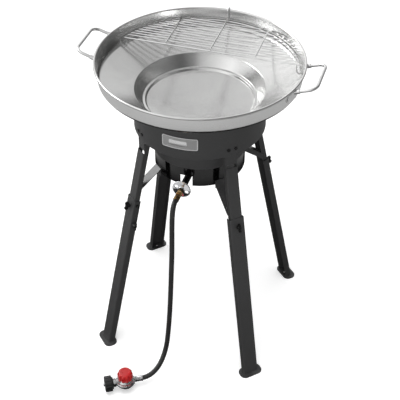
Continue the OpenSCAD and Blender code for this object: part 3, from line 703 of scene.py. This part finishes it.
def make_wind_ring():
    """Plain sheet ring with a rolled hem along its top."""
    low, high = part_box("wind_ring")
    outer, sheet, hem = high.x, 1.5 * MM, 1.2 * MM
    inner = outer - sheet
    outline = [Vector((inner, low.z + 0.5 * MM)), Vector((inner + 0.4 * MM, low.z)),
               Vector((outer - 0.4 * MM, low.z)), Vector((outer, low.z + 0.5 * MM)),
               Vector((outer, high.z - 2 * hem - 0.3 * MM))]
    outline += arc((outer - hem, high.z - hem), hem, -20, 200, 14)
    outline += [Vector((inner, high.z - 2 * hem - 0.3 * MM))]
    Shape().revolve([tuple(p) for p in outline], 256).piece(
        "wind_ring_shell", COAT, "burner_stand", "black_coat", ["wind_ring"])


def make_name_plate():
    """Curved blank plate: a raised border, a stippled field and a smooth raised bar."""
    low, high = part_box("name_plate")
    ring_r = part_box("wind_ring")[1].x
    z = (low.z + high.z) / 2
    width = 2 * ring_r * math.asin(high.x / ring_r)
    height = high.z - low.z
    sheet, proud = 0.7 * MM, 1.28 * MM
    sunk = sheet - 0.25 * MM

    def wrapped(shape):
        """Bends a flat shape round the wind ring."""
        shape.points = [Vector(((ring_r + p.z) * math.sin(p.x / ring_r),
                                -(ring_r + p.z) * math.cos(p.x / ring_r), z + p.y)) for p in shape.points]
        return shape

    edge = finely(rounded_rectangle(width, height, 5 * MM))
    field = Shape().slab(edge, [(0.0, 0.03 * MM), (0.0, sheet - 0.2 * MM), (0.2 * MM, sheet)], strips=True)
    wrapped(field).piece("name_plate_field", PLATE_FIELD, "burner_stand", "plain_plate", ["name_plate"])

    trim = Shape()
    levels = [(0.0, sunk), (0.1 * MM, 1.1 * MM), (0.5 * MM, proud), (1.7 * MM, proud), (2.1 * MM, 1.1 * MM),
              (2.2 * MM, sunk)]
    points = [(x, y, t) for inset, t in levels for x, y in edge(inset)]
    count = len(points) // len(levels)
    faces = []
    for i in range(len(levels)):
        for k in range(count):
            j, up = (k + 1) % count, (i + 1) % len(levels)
            faces.append((i * count + k, i * count + j, up * count + j, up * count + k))
    trim.add(points, faces)
    bar = finely(rounded_rectangle(width * 0.50, height * 0.42, 3 * MM))
    trim.slab(bar, [(0.0, sunk), (0.1 * MM, 1.0 * MM), (0.7 * MM, 1.25 * MM)],
              Matrix.Translation((-0.05 * width, 0, 0)), True)
    wrapped(trim).piece("name_plate_trim", PLATE, "burner_stand", "plain_plate")


def finely(outline, longest=3 * MM):
    """The same outline function with its long level runs cut into short steps."""
    def finer(inset):
        points = [Vector(p) for p in outline(inset)]
        base = [Vector(p) for p in outline(0.0)]
        made = []
        for i, p in enumerate(points):
            j = (i + 1) % len(points)
            steps = max(1, round(abs(base[j].x - base[i].x) / longest))
            made += [tuple(p.lerp(points[j], k / steps)) for k in range(steps)]
        return made
    return finer


# ---------------------------------------------------------------- gas train

GAS_DIRECTION = Vector((0, -1, 0))


def span_on_line(node_name):
    """Where a CAD node starts and ends along the gas line, and its radius."""
    low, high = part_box(node_name)
    return -high.y, -low.y, high.x


def gas_line():
    """Matrix of the gas line: its +Z points forward from the centre of the burner."""
    low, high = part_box("air_shutter")
    return frame_at((0, 0, (low.z + high.z) / 2), GAS_DIRECTION)


def make_gas_train():
    """Threaded collar, air shutter, orifice spud, orifice fitting and the hose's swivel nut."""
    line = gas_line()
    near, far, collar_r = span_on_line("shutter_collar")
    rows = 60
    body = [(6.1 * MM, near), (collar_r - 1 * MM, near), (collar_r, near + 1 * MM)]
    body += [(collar_r, near + 1 * MM + (far - near - 2 * MM) * i / rows) for i in range(1, rows)]
    body += [(collar_r, far - 1 * MM), (collar_r - 1 * MM, far), (6.1 * MM, far)]
    cut = thread(1.5 * MM, 2.6 * MM, near + 1 * MM, far - 1 * MM)
    Shape().revolve(body, 72, line, cut).piece(
        "shutter_collar_thread", STEEL, "burner_stand", "dark_steel", ["shutter_collar"])

    back, front, rim = span_on_line("air_shutter")
    disc = Shape()
    plate_front = back + 3.2 * MM
    outline = [(6.05 * MM, back), (rim - 4 * MM, back), (rim - 3 * MM, back + 0.5 * MM)]
    outline += [tuple(p) for p in arc((rim - 1.1 * MM, back + 1.7 * MM), 1.1 * MM, -110, 110, 10)]
    outline += [(rim - 3.4 * MM, plate_front - 0.5 * MM), (rim - 4.4 * MM, plate_front),
                (10 * MM, plate_front), (9.2 * MM, plate_front + 0.5 * MM), (9 * MM, front - 0.5 * MM),
                (8.5 * MM, front), (6.05 * MM, front)]
    disc.revolve(outline, 160, line)
    made = disc.piece("air_shutter_disc", CHROME, "shutter", "chrome_fittings", ["air_shutter"])
    pierce(made, line)

    near, far, collar = span_on_line("orifice_spud")
    rows = 40
    shoulder = near + 23.5 * MM - 1 * MM
    body = [(1.2 * MM, near), (6 * MM, near), (6 * MM, shoulder - 0.1 * MM), (collar - 0.5 * MM, shoulder),
            (collar, shoulder + 0.5 * MM), (collar, shoulder + 3 * MM),
            (collar - 0.5 * MM, shoulder + 3.5 * MM), (6.9 * MM, shoulder + 3.6 * MM)]
    threaded = shoulder + 4 * MM
    body += [(6.9 * MM, threaded + (far - threaded) * i / rows) for i in range(rows)]
    body += [(6.2 * MM, far), (1.2 * MM, far)]
    Shape().revolve(body, 60, line, thread(0.8 * MM, 1.5 * MM, threaded, far - 0.4 * MM)).piece(
        "orifice_spud_thread", SPUD, "burner_stand", "dark_steel", ["orifice_spud"])

    near, far, _ = span_on_line("orifice_fitting")
    hex_far = near + 11 * MM
    body = [(1.6 * MM, near), (7.9 * MM, near), (8.8 * MM, near + 0.7 * MM), (8.8 * MM, hex_far - 0.7 * MM),
            (7.9 * MM, hex_far), (6.6 * MM, hex_far + 0.05 * MM), (6.6 * MM, far), (1.6 * MM, far)]
    Shape().revolve(body, 96, line, hexagon(15.2 * MM)).piece(
        "orifice_fitting_hex", BRASS, "burner_stand", "brass", ["orifice_fitting"])

    near, far, _ = span_on_line("hose_nut")
    hex_far = near + 8 * MM
    body = [(3 * MM, near), (7.7 * MM, near), (8.6 * MM, near + 0.7 * MM), (8.6 * MM, hex_far - 0.6 * MM),
            (8 * MM, hex_far)]
    for i in range(3):
        start = hex_far + (0.6 + 3.4 * i) * MM
        body += [(7.7 * MM, start), (8 * MM, start + 0.5 * MM), (8 * MM, start + 2.4 * MM),
                 (7.7 * MM, start + 2.9 * MM)]
    body += [(7.2 * MM, far), (3 * MM, far)]
    flat = hexagon(15 * MM)
    Shape().revolve(body, 96, line, lambda r, z, a: flat(r, z, a) if z < hex_far - 0.1 * MM else r).piece(
        "hose_nut_hex", DARK_BRASS, "burner_stand", "dark_brass", ["hose_nut"])


def pierce(piece, line):
    """Cuts the two air holes through the shutter."""
    tool = Shape()
    hole_at, hole_r, depth, tilt = 15.7 * MM, 5.6 * MM, 30 * MM, math.radians(25)
    low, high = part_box("air_shutter")
    centre = (low.z + high.z) / 2
    for side in (-1, 1):
        spot = Vector((side * hole_at * math.cos(tilt), high.y + 10 * MM,
                       centre - side * hole_at * math.sin(tilt)))
        tool.revolve([(0, 0), (hole_r, 0), (hole_r, depth), (0, depth)], 48,
                     frame_at(spot, GAS_DIRECTION))
    cutter = tool.link("hole_cutter")
    cut = piece.modifiers.new("air_holes", "BOOLEAN")
    cut.operation = "DIFFERENCE"
    cut.solver = "EXACT"
    cut.object = cutter
    bake(piece)
    bpy.data.objects.remove(cutter)


def bake(piece):
    """Applies all modifiers, so that the final mesh is the object's own."""
    bpy.context.view_layer.update()
    seen = piece.evaluated_get(bpy.context.evaluated_depsgraph_get())
    mesh = bpy.data.meshes.new_from_object(seen)
    mesh.name = piece.name
    piece.modifiers.clear()
    piece.data = mesh
    mesh.shade_smooth()
    mesh.set_sharp_from_angle(angle=math.radians(35))


# ---------------------------------------------------------------- hose and regulator

REG_HEADING = 210.3    # azimuth of the pipe line towards the tank, in degrees
HOSE_R = 7 * MM


def reg_frame():
    """Matrix of the regulator: origin at its centre, +X along the pipe line to the tank."""
    low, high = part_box("regulator_dial")
    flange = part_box("regulator_body")
    centre = Vector(((low.x + high.x) / 2, (low.y + high.y) / 2, flange[0].z + 19 * MM))
    return Matrix.Translation(centre) @ spin(REG_HEADING)


def pipe_frame():
    """The regulator's frame with +Z along the pipe line."""
    return reg_frame() @ Matrix.Rotation(math.pi / 2, 4, "Y")


def bezier(a, b, c, d, t):
    return (1 - t) ** 3 * a + 3 * t * (1 - t) ** 2 * b + 3 * t * t * (1 - t) * c + t ** 3 * d


def make_hose():
    """Straight out of the swivel nut, down past the shroud, and along the ground to the ferrule."""
    reg = reg_frame()
    heading = reg.to_3x3() @ Vector((1, 0, 0))
    line_z = gas_line().translation.z
    ground = reg.translation.z
    start = Vector((0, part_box("gas_hose")[1].y, line_z))
    leaving = start - Vector((0, 10 * MM, 0))
    knee = Vector((0, -262 * MM, line_z - 189 * MM))
    bottom = Vector((-9 * MM, -287 * MM, ground + 102 * MM))
    mouth = reg @ Vector((-48.1 * MM, 0, 0))
    end = reg @ Vector((-31 * MM, 0, 0))
    knee_way = Vector((0, -0.14, -1)).normalized()
    low_way = Vector((-0.09, -0.05, -1)).normalized()
    spans = [(leaving, leaving - Vector((0, 42 * MM, 0)), knee - 110 * MM * knee_way, knee),
             (knee, knee + 100 * MM * knee_way, bottom - 90 * MM * low_way, bottom),
             (bottom, bottom + 58 * MM * low_way, mouth - 52 * MM * heading, mouth)]
    steps = 40
    path = [start] + [bezier(*span, i / steps) for span in spans for i in range(steps)] + [mouth, end]
    Shape().sweep(path, HOSE_R, 32).piece(
        "gas_hose_tube", RUBBER, "burner_stand", "hose_rubber", ["gas_hose"])


def make_ferrule():
    """Crimped sleeve that holds the hose on the regulator's outlet."""
    pipe = pipe_frame()
    body = [(7.1 * MM, -50 * MM), (8.2 * MM, -50 * MM), (8.9 * MM, -49.4 * MM), (8.9 * MM, -46.6 * MM)]
    for i in range(4):
        start = (-46 + i * 3.9) * MM
        body += [(8.0 * MM, start), (8.0 * MM, start + 1.3 * MM), (8.7 * MM, start + 1.9 * MM),
                 (8.7 * MM, start + 3.1 * MM)]
    body += [(8.2 * MM, -31.02 * MM), (7.1 * MM, -31.02 * MM)]
    flats = 8

    def crimped(r, z, angle):
        if not -45.5 * MM < z < -32 * MM:
            return r
        return r - 0.5 * MM * (0.5 + 0.5 * math.cos(flats * angle))

    Shape().revolve(body, 96, pipe, crimped).piece(
        "hose_ferrule_crimped", CHROME, "burner_stand", "chrome_fittings", ["hose_ferrule"])


def profile(*corners):
    """Corners of (radius, height, bend radius) in millimetres, as rounded() takes them."""
    return [(Vector((r * MM, z * MM)), bend * MM) for r, z, bend in corners]


def millimetres(*points):
    """Outline points of (radius, height) in millimetres, in metres."""
    return [(r * MM, z * MM) for r, z in points]


def make_regulator_casting():
    """Two bowls clamped at a flange with six lugs, the dial's stem, and two side outlets."""
    reg, pipe = reg_frame(), pipe_frame()
    half = profile((0, -19, 0), (15, -19, 3), (21.5, -13, 3), (22.5, -4.5, 1.5), (28, -3.2, 1.2),
                   (28, -0.3, 0.2), (27.3, 0, 0.1), (28, 0.3, 0.2), (28, 3.2, 1.2), (21, 4.2, 1.5),
                   (17, 8, 2), (13.5, 11, 1), (5, 11, 0.3))
    stem_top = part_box("regulator_dial")[0].z - reg.translation.z + 7 * MM
    outline = [tuple(p) for p in rounded(half, 5)] + [(5 * MM, stem_top), (0, stem_top)]
    shell = Shape().revolve(outline, 128, reg)
    lug = millimetres((0, -3.6), (3.4, -3.6), (3.9, -3.1), (3.9, 3.3), (3.4, 3.8), (0, 3.8))
    for i in range(6):
        shell.revolve(lug, 32, reg @ spin(30 + 60 * i) @ Matrix.Translation((24.2 * MM, 0, 0)))
    neck = millimetres((3.5, -30.98), (8.2, -30.98), (8.2, -24), (9.6, -21), (9.6, 0), (3.5, 0))
    shell.revolve(neck, 64, pipe)
    outlet = millimetres((3.5, 0), (10.5, 0), (10.5, 27.9), (9.9, 28.5), (3.5, 28.5))
    shell.revolve(outlet, 64, pipe)
    shell.piece("regulator_casting", ZINC, "burner_stand", "zinc", ["regulator_body"])


def make_dial():
    """Fluted cap with a shallow dished top."""
    reg = reg_frame()
    low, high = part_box("regulator_dial")
    dial_r = 22 * MM
    base = low.z - reg.translation.z
    top = high.z - reg.translation.z
    corners = [(Vector((5.05 * MM, base)), 0), (Vector((dial_r - 0.2 * MM, base)), 1.2 * MM),
               (Vector((dial_r - 0.1 * MM, base + 18 * MM)), 4 * MM),
               (Vector((dial_r - 5 * MM, top - 0.5 * MM)), 2.5 * MM), (Vector((12 * MM, top)), 0)]
    outline = [tuple(p) for p in rounded(corners, 8)]
    outline += [(11.6 * MM, top), (11 * MM, top - 0.8 * MM), (0, top - 0.8 * MM)]
    outline += [(0, base + 9 * MM), (5.05 * MM, base + 9 * MM)]
    flutes = scallops(10, dial_r + 2.4 * MM, 5.4 * MM)
    Shape().revolve(outline, 320, reg @ spin(-REG_HEADING), flutes).piece(
        "regulator_dial_knob", RED, "dial", "red_dial", ["regulator_dial"], 50)


def make_tank_end():
    """Inlet fitting with its sealing probe, and the fluted nut that turns on it."""
    pipe = pipe_frame()
    nut = chamfered(2.2 * MM, 12.5 * MM, 28.52 * MM, 35 * MM, 0.9 * MM)
    inlet = Shape().revolve(nut, 96, pipe, hexagon(22 * MM))
    tail = millimetres((2.2, 34), (9, 34), (9, 47.6), (14.1, 48), (14.5, 48.5), (14.5, 52.5), (14.1, 53),
                       (9, 53.2), (9, 55.4), (8.4, 56), (5.5, 56.1), (5.5, 62.5), (4.2, 64), (2.2, 64))
    inlet.revolve(tail, 96, pipe)
    inlet.piece("regulator_inlet_fitting", ZINC, "burner_stand", "zinc", ["regulator_inlet"])

    corners = profile((9.05, 36, 0), (17, 36, 0.8), (17.6, 39, 0.8), (22.9, 40, 2.2), (22.9, 60, 1.6),
                      (18.6, 60, 0.6), (17.5, 58.5, 0))
    outline = [tuple(p) for p in rounded(corners, 6)] + millimetres((17.5, 46), (9.05, 46))
    grips = scallops(12, 25.2 * MM, 3.9 * MM, 0.0, 39.8 * MM)
    Shape().revolve(outline, 288, pipe, grips).piece(
        "tank_nut_grip", BLACK, "tank_connector", "black_plastic", ["tank_nut"], 50)


# ---------------------------------------------------------------- stage

CAMERA_AT = Vector((0.6874, -2.2185, 2.3078))
LOOK_BACK = Vector((0.2298, -0.7417, 0.6301))    # from the target towards the camera
LENS, SENSOR = 92.65, 36                         # millimetres


def make_stage():
    """A wide thin floor just under the feet."""
    plan = rounded_rectangle(16.0, 16.0, 2.0, 12)
    floor = Shape().slab(plan, [(0.0, -0.02), (0.0, -0.0002)]).link("studio_floor")
    floor.data.materials.append(floor_paint())


def make_camera():
    data = bpy.data.cameras.new("camera")
    data.sensor_width = SENSOR
    data.lens = LENS
    camera = bpy.data.objects.new("camera", data)
    camera.location = CAMERA_AT
    camera.rotation_euler = (-LOOK_BACK).to_track_quat("-Z", "Y").to_euler()
    bpy.context.scene.collection.objects.link(camera)
    bpy.context.scene.camera = camera


def area_light(name, position, target, width, height, power):
    """A softbox that lights the object but isn't seen, directly or in mirror-like surfaces."""
    data = bpy.data.lights.new(name, "AREA")
    data.shape = "RECTANGLE"
    data.size = width
    data.size_y = height
    data.energy = power
    light = bpy.data.objects.new(name, data)
    light.location = position
    light.rotation_euler = (Vector(target) - Vector(position)).to_track_quat("-Z", "Y").to_euler()
    light.visible_camera = False
    light.visible_glossy = False
    bpy.context.scene.collection.objects.link(light)


# brightness of the mirrored studio from left (-1) to right (1)
SKY = [(-1.0, 0.95), (-0.62, 1.40), (-0.23, 1.0), (0.22, 0.68), (0.38, 0.34), (0.70, 0.12), (1.0, 0.30)]
PANEL_WAY = Vector((-0.86, 0.11, 0.5)).normalized()    # towards the middle of a bright side panel
PANEL_EDGE = (0.94, 0.985)                             # cosines between which the panel fades in
PANEL_LEVEL = 9.0
FILL_LEVEL = 0.38                                      # diffuse light from all around


def make_world():
    """White backdrop for the camera, and a soft studio gradient for reflections and fill."""
    world = bpy.data.worlds.new("studio")
    bpy.context.scene.world = world
    world.use_nodes = True
    tree = world.node_tree
    tree.nodes.clear()

    def node(kind, inputs=None, **settings):
        return add_node(tree, kind, inputs, **settings)

    way = node("TexCoord").outputs["Generated"]
    across = node("SeparateXYZ", {0: way}).outputs[0]
    place = node("MapRange", {"Value": across, "From Min": -1.0, "From Max": 1.0}).outputs[0]
    sky = node("ValToRGB", {0: place})
    stops = sky.color_ramp.elements
    stops.remove(stops[1])
    stops[0].position, stops[0].color = (SKY[0][0] + 1) / 2, grey(SKY[0][1])
    for x, level in SKY[1:]:
        stops.new((x + 1) / 2).color = grey(level)
    near = node("VectorMath", {0: way, 1: PANEL_WAY}, operation="DOT_PRODUCT").outputs["Value"]
    panel = node("MapRange", {"Value": near, "From Min": PANEL_EDGE[0], "From Max": PANEL_EDGE[1]}).outputs[0]
    studio = node("Mix", {0: panel, 6: sky.outputs[0], 7: grey(PANEL_LEVEL)}, data_type="RGBA").outputs[2]
    path = node("LightPath").outputs
    glossy = node("Background", {"Color": studio, "Strength": 1.0})
    fill = node("Background", {"Color": grey(FILL_LEVEL), "Strength": 1.0})
    white = node("Background", {"Color": grey(1.0), "Strength": 1.0})
    lit = node("MixShader", {0: path["Is Glossy Ray"], 1: fill.outputs[0], 2: glossy.outputs[0]})
    seen = node("MixShader", {0: path["Is Camera Ray"], 1: lit.outputs[0], 2: white.outputs[0]})
    node("OutputWorld", {"Surface": seen.outputs[0]})


def make_lights():
    area_light("top_softbox", (-0.3, -0.2, 3.4), (0, 0, 0.6), 3.0, 3.0, 110)
    area_light("front_softbox", (0.4, -3.4, 1.8), (0, 0, 0.5), 2.4, 1.6, 48)


# ---------------------------------------------------------------- everything

paint_kept_nodes()
make_pan()
make_handle("handle_right", 0)
make_handle("handle_left", 180)
make_rack()
make_wind_ring()
make_name_plate()
make_gas_train()
make_hose()
make_ferrule()
make_regulator_casting()
make_dial()
make_tank_end()
make_stage()
make_camera()
make_world()
make_lights()
bpy.context.scene.view_settings.view_transform = "Standard"
